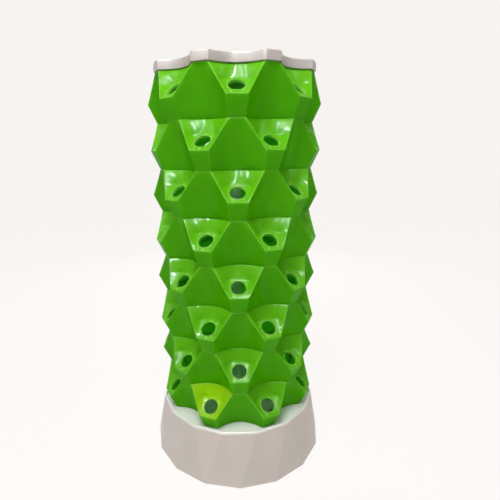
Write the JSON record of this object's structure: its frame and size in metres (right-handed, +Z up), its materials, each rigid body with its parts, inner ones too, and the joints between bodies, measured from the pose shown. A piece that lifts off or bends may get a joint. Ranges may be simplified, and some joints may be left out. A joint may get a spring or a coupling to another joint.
{
  "type": "hydroponic tower",
  "caption": "Stacking hydroponic tower: faceted tank with pump, drip tray and riser pipe, alternating tiers of sloped pockets with net-cup holes, a water pan and a lid.",
  "frame": {"origin": "centre of the tank's underside, on the floor", "axes": "+Z up along the tower's axis, -Y towards the front, where a pocket of the top tier points"},
  "size_m": [0.448, 0.4481, 0.9413],
  "materials": {
    "tier_green": "glossy moulded",
    "shell_white": "glossy moulded",
    "pipe_white": "smooth",
    "coupler_grey": "smooth",
    "seal_rubber": "matt",
    "pump_black": "fine grain",
    "rotor_blue": "smooth",
    "dial_grey": "smooth",
    "shaft_ceramic": "ground"
  },
  "bodies": {
    "tank": {"tank_shell": "shell_white", "cable_grommet": "seal_rubber", "pump_body": "pump_black", "pump_cover": "pump_black", "pump_shaft": "shaft_ceramic", "pump_strainer": "pump_black", "pump_feet": "seal_rubber", "riser_adapter": "pipe_white", "riser_pipe_lower": "pipe_white", "riser_pipe_middle": "pipe_white", "riser_pipe_upper": "pipe_white", "pipe_coupler_lower": "coupler_grey", "pipe_coupler_upper": "coupler_grey"},
    "tray": {"drip_tray": "shell_white"},
    "tier_8": {"tier_8": "tier_green"},
    "tier_7": {"tier_7": "tier_green"},
    "tier_6": {"tier_6": "tier_green"},
    "tier_5": {"tier_5": "tier_green"},
    "tier_4": {"tier_4": "tier_green"},
    "tier_3": {"tier_3": "tier_green"},
    "tier_2": {"tier_2": "tier_green"},
    "tier_1": {"tier_1": "tier_green"},
    "pan": {"water_pan": "shell_white", "water_spreader": "shell_white"},
    "cover": {"top_cover": "shell_white"},
    "impeller": {"pump_impeller": "rotor_blue"},
    "flow_dial": {"pump_flow_dial": "dial_grey"},
    "drain_plug": {"drain_plug": "seal_rubber", "drain_seal": "seal_rubber"}
  },
  "joints": [
    {"name": "tray_lift", "type": "slide", "parent": "tank", "child": "tray", "axis": [0, 0, 1], "range_m": [0, 0.05]},
    {"name": "tier_8_lift", "type": "slide", "parent": "tray", "child": "tier_8", "axis": [0, 0, 1], "range_m": [0, 0.06]},
    {"name": "tier_7_lift", "type": "slide", "parent": "tier_8", "child": "tier_7", "axis": [0, 0, 1], "range_m": [0, 0.06]},
    {"name": "tier_6_lift", "type": "slide", "parent": "tier_7", "child": "tier_6", "axis": [0, 0, 1], "range_m": [0, 0.06]},
    {"name": "tier_5_lift", "type": "slide", "parent": "tier_6", "child": "tier_5", "axis": [0, 0, 1], "range_m": [0, 0.06]},
    {"name": "tier_4_lift", "type": "slide", "parent": "tier_5", "child": "tier_4", "axis": [0, 0, 1], "range_m": [0, 0.06]},
    {"name": "tier_3_lift", "type": "slide", "parent": "tier_4", "child": "tier_3", "axis": [0, 0, 1], "range_m": [0, 0.06]},
    {"name": "tier_2_lift", "type": "slide", "parent": "tier_3", "child": "tier_2", "axis": [0, 0, 1], "range_m": [0, 0.06]},
    {"name": "tier_1_lift", "type": "slide", "parent": "tier_2", "child": "tier_1", "axis": [0, 0, 1], "range_m": [0, 0.06]},
    {"name": "pan_lift", "type": "slide", "parent": "tier_1", "child": "pan", "axis": [0, 0, 1], "range_m": [0, 0.06]},
    {"name": "cover_lift", "type": "slide", "parent": "pan", "child": "cover", "axis": [0, 0, 1], "range_m": [0, 0.08]},
    {"name": "impeller_spin", "type": "hinge", "parent": "tank", "child": "impeller", "pos_m": [0, 0.01, 0.039], "axis": [0, 1, 0], "continuous": true},
    {"name": "flow_dial_turn", "type": "hinge", "parent": "tank", "child": "flow_dial", "pos_m": [0, -0.0123, 0.039], "axis": [0, 1, 0], "range_deg": [0, 90]},
    {"name": "drain_plug_pull", "type": "slide", "parent": "tank", "child": "drain_plug", "axis": [-0.1951, 0.9808, 0], "range_m": [0, 0.03]}
  ]
}
